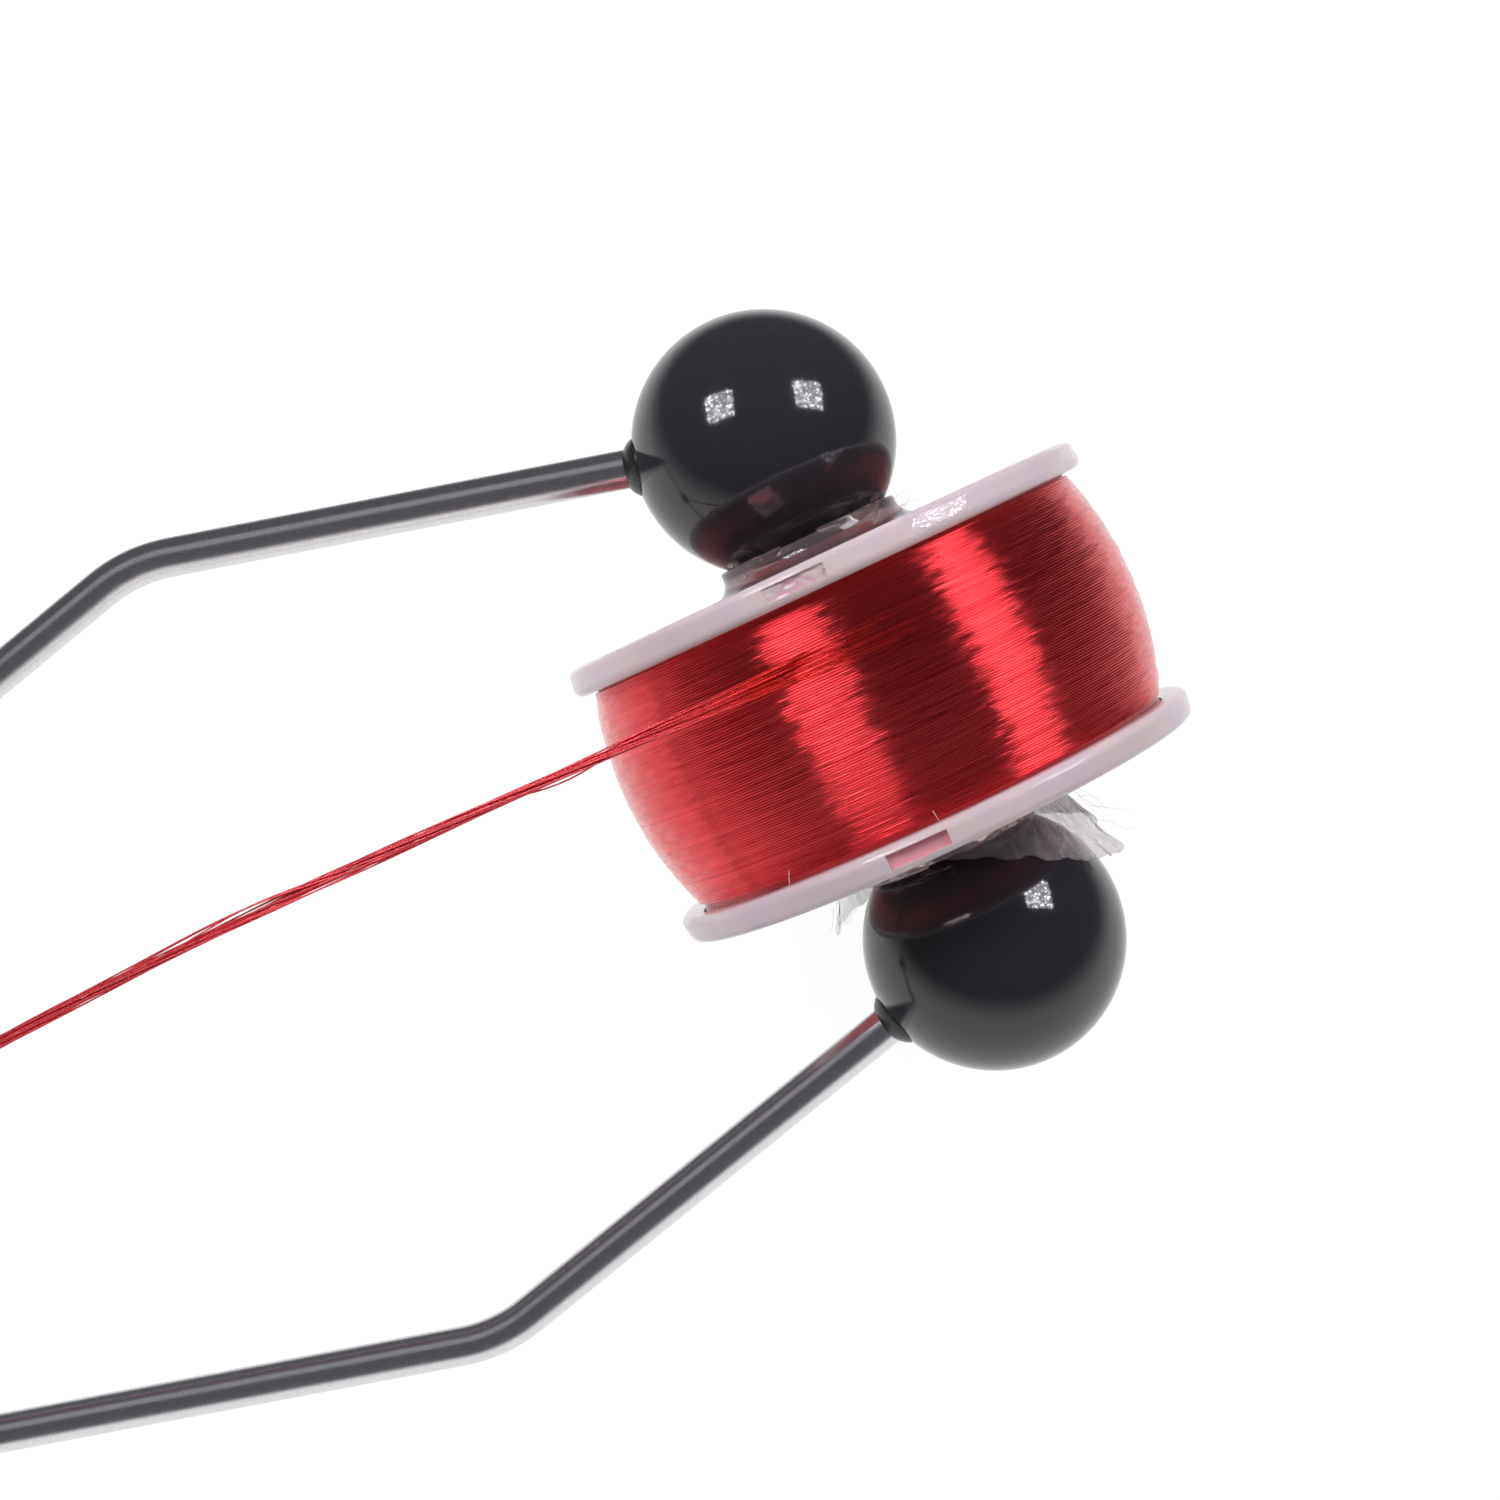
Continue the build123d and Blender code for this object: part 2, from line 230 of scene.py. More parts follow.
# Film's edge: angle from +Z towards -X, reach, lean outwards and cover
FILM_EDGE = (
    (-100, 2.8, 25, 0.09),
    (-75, 2.0, 22, 0.08),
    (-50, 1.0, 5, 0.12),
    (-30, 0.6, -8, 0.12),
    (-10, 0.9, -10, 0.12),
    (10, 1.6, -10, 0.14),
    (30, 2.4, -6, 0.2),
    (50, 3.3, 5, 0.38),
    (62, 4.1, 13, 0.5),
    (70, 4.7, 18, 0.5),
    (77, 4.5, 21, 0.5),
    (86, 3.6, 23, 0.52),
    (105, 2.8, 28, 0.55),
    (145, 2.2, 38, 0.5),
    (180, 2.3, 42, 0.5),
    (220, 2.5, 36, 0.4),
    (260, 2.8, 25, 0.09),
)

# Loose fibres
FIBRE_R = 0.02
FIBRE_STEPS = 24
FIBRE_SIDES = 5
FIBRE_TAPER = 0.5
FIBRE_COVER = 0.3

# Edges that turn more than these angles stay sharp
SHARP_TURNED = 60
SHARP_MOULDED = 32
SHARP_FILAMENT = 75

# Camera: where it aims and how it leans, in the drawing frame
VIEW_AIM = Vector((6.44, -0.08, 0.0))
VIEW_LEAN = Vector((-0.0162, -0.0442, 1.0))
VIEW_TURN = math.radians(154.97)
VIEW_DISTANCE = 141.6
VIEW_WIDTH = 68.1
VIEW_CLIP = (0.005, 20)
SENSOR = 36.0

# Lamps: their ways from the spool are by the picture's right, up and towards the camera
LAMP_WAYS = ((-0.588, 0.44, 0.67), (0.55, 0.585, 0.585))
LAMP_ROLLS = (0.0, 18.0)
LAMP_DISTANCE = 320.0
LAMP_WIDTH = 128.0
LAMP_RADIANCE = 18.0
LAMP_COLOUR = (0.94, 0.93, 1.0)
LAMP_DOTS = 10
LAMP_DOT_CHANCE = 0.55
LAMP_DOT_EDGE = (0.12, 0.42)
LAMP_DOT_GLOW = (4.0, 0.2)
STRIP_WAY = (-0.3, 0.56, 0.77)
STRIP_ROLL = 25.0
STRIP_LENGTH = 330.0
STRIP_WIDTH = 170.0
STRIP_RADIANCE = 0.26
STRIP_COLOUR = (0.92, 0.91, 1.0)

# Room and table: the room is white below an edge that leans with the picture, and dark above it
WHITE = (1, 1, 1, 1)
ROOM_DARK = (0.085, 0.085, 0.095, 1)
ROOM_LEAN = 0.82
ROOM_EDGE = (-0.4, 0.07)
TABLE_HALF = 3000.0
TABLE_DROP = 0.02
TABLE_WHITE = (0.9, 0.9, 0.9, 1)
TABLE_DIM = (0.16, 0.16, 0.16, 1)
TABLE_GLOW = 0.95


class Form:
    """Vertices and faces of a mesh while it is put together."""

    def __init__(self):
        self.verts = []
        self.faces = []
        self.shades = []

    def add(self, verts, faces, shade=0.5):
        base = len(self.verts)
        self.verts.extend(verts)
        self.shades.extend([shade] * len(verts))
        self.faces.extend(tuple(i + base for i in face) for face in faces)


def add_object(name, form, flip=False):
    """A smooth mesh object from a form in the drawing frame."""
    mesh = bpy.data.meshes.new(name)
    side = Matrix.Scale(-1, 4, (0, 1, 0)) if flip else Matrix.Identity(4)
    mesh.from_pydata([tuple(v) for v in form.verts], [], form.faces)
    shade = mesh.attributes.new("shade", "FLOAT", "POINT")
    shade.data.foreach_set("value", form.shades)
    mesh.transform(DRAWN @ side)
    work = bmesh.new()
    work.from_mesh(mesh)
    bmesh.ops.recalc_face_normals(work, faces=work.faces)
    work.to_mesh(mesh)
    work.free()
    mesh.polygons.foreach_set("use_smooth", [True] * len(mesh.polygons))
    piece = bpy.data.objects.new(name, mesh)
    bpy.context.scene.collection.objects.link(piece)
    return piece


def dress(piece, material, body, slot, *nodes):
    """Gives a piece its material, its body and the nodes that it stands for. Slot is not used."""
    piece.data.materials.append(material)
    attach(piece, body)
    if nodes:
        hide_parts(*nodes)
    return piece


def sharpen(piece, degrees):
    """Keeps the edges that turn more than an angle."""
    piece.data.set_sharp_from_angle(angle=math.radians(degrees))


# Outlines and sweeps


def arc_at(before, here, after, radius, step):
    """Points of the arc that rounds a corner, a step of degrees apart."""
    way_in = (here - before).normalized()
    way_out = (after - here).normalized()
    turn = way_in.angle(way_out)
    if radius <= 0 or turn < 1e-4:
        return [here]
    side = (way_out - way_in * way_in.dot(way_out)).normalized()
    centre = here - way_in * radius * math.tan(turn / 2) + side * radius
    steps = max(3, math.ceil(math.degrees(turn) / step))
    points = []
    for i in range(steps + 1):
        a = turn * i / steps
        points.append(centre - side * radius * math.cos(a) + way_in * radius * math.sin(a))
    return points


def rounded_path(corners, radii):
    """Straight runs joined by arcs."""
    points = [corners[0]]
    for before, here, after, radius in zip(corners, corners[1:], corners[2:], radii):
        points += arc_at(before, here, after, radius, BEND_STEP)
    return points + [corners[-1]]


def rounded_outline(corners):
    """A closed outline from (radius, height, rounding) corners."""
    flat = [Vector((r, h, 0)) for r, h, _ in corners]
    points = []
    for i, (_, _, rounding) in enumerate(corners):
        after = flat[(i + 1) % len(flat)]
        points += arc_at(flat[i - 1], flat[i], after, rounding, OUTLINE_STEP)
    return [(p.x, p.y) for p in points]


def ring_faces(n, segments, closed=True):
    """Faces between outlines of n points that stand side by side in a ring."""
    faces = []
    for i in range(segments):
        here, there = i * n, (i + 1) % segments * n
        for j in range(n if closed else n - 1):
            k = (j + 1) % n
            faces.append((here + j, there + j, there + k, here + k))
    return faces


def lathe(outline, segments):
    """Vertices and faces of a closed outline of (radius, height), above zero, turned about +Z."""
    verts = []
    for i in range(segments):
        a = 2 * math.pi * i / segments
        verts += [Vector((r * math.cos(a), r * math.sin(a), h)) for r, h in outline]
    return verts, ring_faces(len(outline), segments)


def moved(verts, matrix):
    """The vertices taken elsewhere by a matrix."""
    return [matrix @ v for v in verts]


def facing(origin, way):
    """The matrix that lays +Z along a direction."""
    return Matrix.Translation(origin) @ Vector(way).to_track_quat("Z", "Y").to_matrix().to_4x4()


def tube(path, radii, sides, start_up=Vector((0, 0, 1))):
    """A round tube along points, with closed ends. Radii is a number or one for each point."""
    if not hasattr(radii, "__len__"):
        radii = [radii] * len(path)
    verts, faces = [], []
    up = start_up
    for i, point in enumerate(path):
        way = (path[min(i + 1, len(path) - 1)] - path[max(i - 1, 0)]).normalized()
        up = (up - way * up.dot(way)).normalized()
        side = way.cross(up)
        for k in range(sides):
            a = 2 * math.pi * k / sides
            verts.append(point + (side * math.cos(a) + up * math.sin(a)) * radii[i])
    for i in range(len(path) - 1):
        for k in range(sides):
            j = (k + 1) % sides
            a, b = i * sides, (i + 1) * sides
            faces.append((a + k, a + j, b + j, b + k))
    last = (len(path) - 1) * sides
    faces.append(tuple(range(sides - 1, -1, -1)))
    faces.append(tuple(last + k for k in range(sides)))
    return verts, faces


# Materials


def new_material(name):
    """A material with its node tree and its shader."""
    made = bpy.data.materials.new(name)
    made.use_nodes = True
    return made, made.node_tree, made.node_tree.nodes["Principled BSDF"]


def feed(tree, socket, value):
    """Links a socket to another one, or sets its value."""
    if isinstance(value, bpy.types.NodeSocket):
        tree.links.new(value, socket)
    else:
        socket.default_value = value


def add_node(tree, kind, inputs=None, **settings):
    """A node with its settings and its inputs."""
    made = tree.nodes.new(kind)
    for key, value in settings.items():
        setattr(made, key, value)
    for key, value in (inputs or {}).items():
        feed(tree, made.inputs[key], value)
    return made


def set_inputs(tree, shader, **inputs):
    """Feeds a shader's inputs, with _ for a space in a name."""
    for key, value in inputs.items():
        feed(tree, shader.inputs[key.replace("_", " ")], value)


def calc(tree, operation, *values):
    """The result of a math node."""
    return add_node(tree, "ShaderNodeMath", dict(enumerate(values)), operation=operation).outputs[0]


def vector_calc(tree, operation, *values):
    """The result of a vector math node: a number for a length or a dot product."""
    made = add_node(tree, "ShaderNodeVectorMath", dict(enumerate(values)), operation=operation)
    return made.outputs["Value" if operation in ("LENGTH", "DOT_PRODUCT") else "Vector"]


def millimetres(tree, stretch=(1, 1, 1)):
    """The place on the piece in millimetres, stretched."""
    place = add_node(tree, "ShaderNodeTexCoord").outputs["Object"]
    scale = [s / MM for s in stretch]
    return add_node(tree, "ShaderNodeMapping", {"Vector": place, "Scale": scale}).outputs["Vector"]


def from_axis(tree):
    """The distance from the spool's axis in millimetres."""
    place = add_node(tree, "ShaderNodeTexCoord").outputs["Object"]
    apart = vector_calc(tree, "SUBTRACT", place, joints["spool_spin"]["pos_m"])
    level = vector_calc(tree, "CROSS_PRODUCT", apart, ACROSS)
    return calc(tree, "MULTIPLY", vector_calc(tree, "LENGTH", level), 1 / MM)


def shade_of(tree):
    """The shade that a form gives to its vertices."""
    return add_node(tree, "ShaderNodeAttribute", attribute_name="shade").outputs["Fac"]


def grain(tree, place, scale, detail=3.0, roughness=0.5):
    """Noise from 0 to 1."""
    inputs = {"Vector": place, "Scale": scale, "Detail": detail, "Roughness": roughness}
    return add_node(tree, "ShaderNodeTexNoise", inputs).outputs["Fac"]


def span(tree, value, low, high, to_low=0.0, to_high=1.0, **settings):
    """A value taken from one range to another."""
    inputs = {"Value": value, "From Min": low, "From Max": high, "To Min": to_low, "To Max": to_high}
    return add_node(tree, "ShaderNodeMapRange", inputs, **settings).outputs["Result"]


def uneven(tree, place, scale, low, high):
    """A value that wavers between two limits over the piece."""
    return span(tree, grain(tree, place, scale), 0.3, 0.7, low, high)


def blend_colours(tree, share, first, second):
    """A colour between two others."""
    inputs = {0: share, 6: first, 7: second}
    return add_node(tree, "ShaderNodeMix", inputs, data_type="RGBA").outputs[2]


def bumped(tree, height, distance, strength):
    """The normal of a surface with a fine relief."""
    inputs = {"Height": height, "Distance": distance * MM, "Strength": strength}
    return add_node(tree, "ShaderNodeBump", inputs).outputs["Normal"]


def ball_material():
    """Polished black plastic with a little dust."""
    made, tree, shader = new_material("black_ball")
    place = millimetres(tree)
    dust = span(tree, grain(tree, place, 1.9, 6.0, 0.72), 0.735, 0.78)
    colour = blend_colours(tree, dust, (0.028, 0.029, 0.035, 1), (0.075, 0.072, 0.072, 1))
    haze = uneven(tree, place, 0.5, 0.07, 0.11)
    set_inputs(tree, shader, Base_Color=colour, Roughness=haze, IOR=1.58)
    return made


def wire_material(name, tone):
    """Bright plate under a dull clear coat with a fine grain."""
    made, tree, shader = new_material(name)
    place = millimetres(tree)
    speck = grain(tree, place, 9.0, 5.0, 0.7)
    shade = span(tree, speck, 0.3, 0.75)
    dark = (tone * 0.86, tone * 0.85, tone * 0.88, 1)
    light = (tone * 1.1, tone * 1.09, tone * 1.12, 1)
    set_inputs(tree, shader, Base_Color=blend_colours(tree, shade, dark, light), Metallic=0.9)
    set_inputs(tree, shader, Roughness=uneven(tree, place, 2.0, 0.2, 0.28))
    rough = bumped(tree, speck, 0.02, 0.6)
    set_inputs(tree, shader, Coat_Weight=1.0, Coat_Roughness=0.5, Coat_IOR=1.55, Coat_Normal=rough)
    return made


def thread_material():
    """Shiny red filaments, wound tight: the sheen takes the colour of the thread."""
    made, tree, shader = new_material("red_thread")
    colour = blend_colours(tree, shade_of(tree), (0.58, 0.013, 0.023, 1), (0.88, 0.054, 0.06, 1))
    set_inputs(tree, shader, Base_Color=colour, Metallic=0.975, IOR=1.5)
    set_inputs(tree, shader, Coat_Weight=0.25, Coat_Roughness=0.2)
    set_inputs(tree, shader, Roughness=uneven(tree, millimetres(tree), 3.0, 0.27, 0.34))
    around = add_node(tree, "ShaderNodeTangent", direction_type="RADIAL", axis="Y").outputs["Tangent"]
    set_inputs(tree, shader, Anisotropic=1.0, Anisotropic_Rotation=0.25, Tangent=around)
    return made


def loose_thread_material():
    """Loose filaments: red as the winding where they lie on it, and lighter where they run free, a
    painted glow of light shining through the thread.
    """
    made, tree, shader = new_material("red_loose_thread")
    shade = shade_of(tree)
    laid = blend_colours(tree, shade, (0.6, 0.012, 0.018, 1), (0.95, 0.06, 0.042, 1))
    # The lighter free colours are painted light: they stand in for the white table's light shining
    # through the free thread
    free = blend_colours(tree, shade, (1.0, 0.06, 0.09, 1), (1.0, 0.13, 0.15, 1))
    away = span(tree, from_axis(tree), LAID_TO, FREE_FROM)
    set_inputs(tree, shader, Base_Color=blend_colours(tree, away, laid, free), IOR=1.45)
    set_inputs(tree, shader, Metallic=span(tree, away, 0.0, 1.0, 0.9, 0.45))
    set_inputs(tree, shader, Roughness=uneven(tree, millimetres(tree), 3.0, 0.24, 0.36))
    return made


def pocket_glow_mask(tree, place, far):
    """Where the pocket's painted glow goes, near the floor of its pocket, from 0 to 1."""
    floor_r = FLANGE_R - POCKET_DEPTH
    above = span(tree, far, *(floor_r + fade for fade in POCKET_FADE_IN))
    below = span(tree, far, *(floor_r + fade for fade in POCKET_FADE_OUT), 1.0, 0.0)
    along = calc(tree, "ABSOLUTE", vector_calc(tree, "DOT_PRODUCT", place, ACROSS))
    beside = calc(tree, "COMPARE", along, HALF_WOUND + FLANGE_T / 2, POCKET_H / 2 + POCKET_TRIM)
    return calc(tree, "MULTIPLY", calc(tree, "MULTIPLY", above, below), beside)


def spool_material(name, pocket):
    """Pale translucent plastic with faint flow marks, and a painted glow in the pocket: pink that
    stands in for the red winding seen through its floor.
    """
    made, tree, shader = new_material(name)
    place = millimetres(tree)
    flow = span(tree, grain(tree, place, 0.42, 3.0, 0.55), 0.36, 0.64)
    plain = blend_colours(tree, flow, (0.96, 0.79, 0.86, 1), (1.0, 0.83, 0.80, 1))
    far = from_axis(tree)
    # The pocket's colour is painted light: the winding's red seen through the clear floor
    colour = blend_colours(tree, pocket_glow_mask(tree, place, far), plain, pocket)
    clear = span(tree, far, CLEAR_TO, MILKY_FROM, 0.93, 0.12)
    set_inputs(tree, shader, Base_Color=colour, IOR=1.46, Transmission_Weight=clear)
    set_inputs(tree, shader, Roughness=uneven(tree, place, 0.9, 0.02, 0.06))
    set_inputs(tree, shader, Normal=bumped(tree, grain(tree, place, 0.8, 2.0), 0.012, 0.2))
    return made


def glue_material():
    """Cured dark adhesive, glossy and lumpy."""
    made, tree, shader = new_material("adhesive")
    place = millimetres(tree)
    mottle = grain(tree, place, 2.0)
    colour = blend_colours(tree, mottle, (0.012, 0.011, 0.012, 1), (0.04, 0.036, 0.038, 1))
    set_inputs(tree, shader, Base_Color=colour, Roughness=uneven(tree, place, 3.0, 0.2, 0.34))
    return made


def film_material():
    """Torn translucent film with paper fibres."""
    made, tree, shader = new_material("label_film")
    fibre = grain(tree, millimetres(tree, (3.0, 0.7, 3.0)), 1.6, 5.0, 0.7)
    colour = blend_colours(tree, fibre, (0.80, 0.68, 0.70, 1), (0.98, 0.93, 0.92, 1))
    haze = uneven(tree, millimetres(tree), 2.0, 0.35, 0.6)
    cover = calc(tree, "MULTIPLY", span(tree, fibre, 0.3, 0.7, 0.35, 1.0), shade_of(tree))
    set_inputs(tree, shader, Base_Color=colour, Roughness=haze, Alpha=cover)
    return made


def steel_material():
    """Drawn and polished stainless tube, with faint lines along it."""
    made, tree, shader = new_material("barrel_steel")
    lines = grain(tree, millimetres(tree, (0.15, 6.0, 6.0)), 2.0, 5.0, 0.6)
    colour = blend_colours(tree, lines, (0.66, 0.66, 0.67, 1), (0.8, 0.8, 0.81, 1))
    polish = span(tree, lines, 0.3, 0.7, 0.28, 0.42)
    set_inputs(tree, shader, Base_Color=colour, Metallic=1.0, Roughness=polish)
    set_inputs(tree, shader, Normal=bumped(tree, lines, 0.006, 0.3))
    return made


def ceramic_material():
    """Polished white ceramic with a warm mottle."""
    made, tree, shader = new_material("ceramic")
    place = millimetres(tree)
    mottle = grain(tree, place, 1.2, 4.0)
    colour = blend_colours(tree, mottle, (0.80, 0.78, 0.73, 1), (0.90, 0.89, 0.86, 1))
    set_inputs(tree, shader, Base_Color=colour, Roughness=uneven(tree, place, 2.0, 0.08, 0.16))
    return made


# Arms


def arm_direction():
    """The direction in which the wire leaves its ball."""
    return (Vector((BEND[0], BEND[1], 0)) - Vector((0, BALL_Y, 0))).normalized()


def ball_form():
    """A ball, drilled for its wire, with a rounded edge at the hole."""
    mouth = math.asin((HOLE_R + HOLE_ROUND) / BALL_R)
    steps = BALL_SEGMENTS // 2
    outline = [(AXIS_R, 0.0), (HOLE_R, 0.0)]
    top = BALL_R * math.cos(mouth)
    for i in range(HOLE_STEPS + 1):
        a = math.pi / 2 * i / HOLE_STEPS
        out, down = 1 - math.cos(a), 1 - math.sin(a)
        outline.append((HOLE_R + HOLE_ROUND * out, top - HOLE_ROUND * down))
    for i in range(1, steps):
        a = mouth + (math.pi - mouth) * i / steps
        outline.append((BALL_R * math.sin(a), BALL_R * math.cos(a)))
    outline.append((AXIS_R, -BALL_R))
    form = Form()
    verts, faces = lathe(outline, BALL_SEGMENTS)
    form.add(moved(verts, facing((0, BALL_Y, 0), arm_direction())), faces)
    return form


def bead_form():
    """The adhesive in the corner of wire and ball, fuller towards the top."""
    place = facing((0, BALL_Y, 0), arm_direction())
    inner, low = WIRE_R - BEAD_LAP, BALL_R - BEAD_DEPTH
    verts = []
    for i in range(BEAD_SEGMENTS):
        a = 2 * math.pi * i / BEAD_SEGMENTS
        out = Vector((math.cos(a), math.sin(a), 0))
        front = 0.5 + 0.5 * (place.to_3x3() @ out).z
        lump = BEAD_LUMP * noise.noise(out * BEAD_LUMPS)
        width = BEAD_W + lump + BEAD_FRONT * front**1.5
        height = BEAD_H + lump + BEAD_RISE * front
        outline = []
        for j in range(BEAD_STEPS):
            t = math.pi / 2 * j / (BEAD_STEPS - 1)
            wide = (1 - math.sin(t)) * (1 - BEAD_FULL) + math.cos(t) * BEAD_FULL
            high = (1 - math.cos(t)) * (1 - BEAD_FULL) + math.sin(t) * BEAD_FULL
            r = WIRE_R + width * wide
            rest = math.sqrt((BALL_R + BEAD_GAP) ** 2 - r**2)
            outline.append((r, rest + height * high))
        outline += [(inner, BALL_R - BEAD_LAP), (inner, low), (WIRE_R + width - BEAD_TUCK, low)]
        verts += [out * r + Vector((0, 0, h)) for r, h in outline]
    form = Form()
    form.add(moved(verts, place), ring_faces(len(outline), BEAD_SEGMENTS))
    return form


def wire_form():
    """The spring wire from inside its ball to its rounded end in the yoke."""
    start = Vector((0, BALL_Y, 0)) + arm_direction() * WIRE_START
    corners = [start] + [Vector((x, y, 0)) for x, y in (BEND, SHOULDER, ROOT_BEND, PIVOT)]
    path = rounded_path(corners, BEND_RADII)
    radii = [WIRE_R] * len(path)
    for i in range(1, WIRE_END_STEPS + 1):
        a = math.pi / 2 * i / (WIRE_END_STEPS + WIRE_END_FLAT)
        path.append(Vector((PIVOT[0] + WIRE_R * math.sin(a), PIVOT[1], 0)))
        radii.append(WIRE_R * math.cos(a))
    form = Form()
    form.add(*tube(path, radii, WIRE_SIDES))
    return form


# Spool


def spool_half_form(has_spigot):
    """A flange with half of the hub, drawn on the left."""
    flange_out = HALF_WOUND + FLANGE_T
    collar_out = flange_out + COLLAR_H
    seat_slope = SEAT_R / math.sqrt(BALL_R**2 - SEAT_R**2)
    seat_low = collar_out - SEAT_DEPTH - (SEAT_R - BORE_R) * seat_slope
    corners = [
        (HUB_R, 0, 0),
        (HUB_R, HALF_WOUND, HUB_FILLET),
        (FLANGE_R, HALF_WOUND, RIM_ROUND),
        (FLANGE_R - RIM_DRAFT, flange_out, RIM_ROUND),
        (COLLAR_R, flange_out, COLLAR_ROOT),
        (COLLAR_R, collar_out, COLLAR_ROUND),
        (SEAT_TOP_R, collar_out, SEAT_ROUND),
        (BORE_R, seat_low, EDGE_ROUND),
    ]
    if has_spigot:
        corners += [(r, -SPIGOT_L, EDGE_ROUND) for r in (BORE_R, SPIGOT_R)]
        corners.append((SPIGOT_R, 0, 0))
    else:
        socket, floor = SPIGOT_R + SNAP_GAP, SPIGOT_L + SNAP_GAP
        corners += [(BORE_R, floor, 0), (socket, floor, 0), (socket, 0, 0)]
    verts, faces = lathe(rounded_outline(corners), SPOOL_SEGMENTS)
    form = Form()
    form.add(moved(verts, facing((0, 0, 0), (0, 1, 0))), faces)
    return form


def block_form(size, middle, turn):
    """A block to cut with, turned about the spool's axis."""
    corner = [Vector((x, y, z)) / 2 for x in (-1, 1) for y in (-1, 1) for z in (-1, 1)]
    verts = [Vector((c.x * size[0], c.y * size[1], c.z * size[2])) + Vector(middle) for c in corner]
    faces = [(0, 1, 3, 2), (4, 6, 7, 5), (0, 4, 5, 1), (2, 3, 7, 6), (0, 2, 6, 4), (1, 5, 7, 3)]
    form = Form()
    form.add(moved(verts, Matrix.Rotation(math.radians(turn), 4, "Y")), faces)
    return form


def cut(piece, form, flip):
    """Takes a form away from a piece."""
    tool = add_object("cutter", form, flip)
    step = piece.modifiers.new("cut", "BOOLEAN")
    step.operation = "DIFFERENCE"
    step.solver = "EXACT"
    step.object = tool
    seen = bpy.context.evaluated_depsgraph_get()
    mesh = bpy.data.meshes.new_from_object(piece.evaluated_get(seen))
    piece.modifiers.clear()
    piece.data = mesh
    bpy.data.objects.remove(tool)


def bumpy_floor_form():
    """The rough floor of the pocket, sunk a little into its bottom and sides."""
    columns, rows = BUMP_GRID
    chance = random.Random(3)
    low = FLANGE_R - POCKET_DEPTH - BUMP_SUNK
    verts = []
    for lift in (0, 1):
        for i in range(columns + 1):
            for j in range(rows + 1):
                x = (POCKET_W + BUMP_SUNK) * (i / columns - 0.5)
                y = HALF_WOUND + FLANGE_T / 2 + (POCKET_H + BUMP_SUNK) * (j / rows - 0.5)
                verts.append(Vector((x, y, low + lift * chance.uniform(*BUMP_HEIGHTS))))
    n, top = rows + 1, (columns + 1) * (rows + 1)
    faces = []
    for i in range(columns):
        for j in range(rows):
            cell = (i * n + j, (i + 1) * n + j, (i + 1) * n + j + 1, i * n + j + 1)
            faces += [cell[::-1], tuple(k + top for k in cell)]
    rim = [(i * n, (i + 1) * n) for i in range(columns)]
    rim += [(columns * n + j, columns * n + j + 1) for j in range(rows)]
    rim += [((i + 1) * n + rows, i * n + rows) for i in range(columns)]
    rim += [(j + 1, j) for j in range(rows)]
    faces += [(a, b, b + top, a + top) for a, b in rim]
    form = Form()
    form.add(moved(verts, Matrix.Rotation(math.radians(POCKET_TURN), 4, "Y")), faces)
    return form


def join(piece, form, flip):
    """Adds a form to a piece's mesh."""
    other = add_object("other", form, flip)
    work = bmesh.new()
    work.from_mesh(piece.data)
    work.from_mesh(other.data)
    work.to_mesh(piece.data)
    work.free()
    bpy.data.objects.remove(other)


def spool_half(name, has_spigot, flip, material):
    """One half of the spool with its pocket and notch, and a rough pocket on the spigot's half."""
    piece = add_object(name, spool_half_form(has_spigot), flip)
    rim = (0, HALF_WOUND + FLANGE_T / 2, FLANGE_R)
    cut(piece, block_form((POCKET_W, POCKET_H, 2 * POCKET_DEPTH), rim, POCKET_TURN), flip)
    lip = (0, HALF_WOUND + FLANGE_T + COLLAR_H, (SEAT_TOP_R + COLLAR_R) / 2)
    cut(piece, block_form((NOTCH_W, 2 * NOTCH_DEPTH, NOTCH_W), lip, POCKET_TURN), flip)
    if has_spigot:
        join(piece, bumpy_floor_form(), flip)
    piece.data.polygons.foreach_set("use_smooth", [True] * len(piece.data.polygons))
    sharpen(piece, SHARP_MOULDED)
    return dress(piece, material, "spool", "spool_plastic", name.replace("visual_", ""))


# Winding


def winding_radius(y):
    """Radius of the crowned winding at a place along the spool."""
    return CROWN_R - CROWN_ARC + math.sqrt(CROWN_ARC**2 - (y - CROWN_Y) ** 2)


def round_spool(angle, y, radius):
    """A point round the spool, by the angle from +Z towards +X."""
    return Vector((radius * math.sin(angle), y, radius * math.cos(angle)))


def lie_of(angle, y):
    """How far a filament lies above or below the even winding."""
    height = 0.0
    for size, along, across in WAVES:
        place = round_spool(angle, 0, CROWN_R) / along
        place.y = y / across
        height += size * noise.noise(place)
    return height


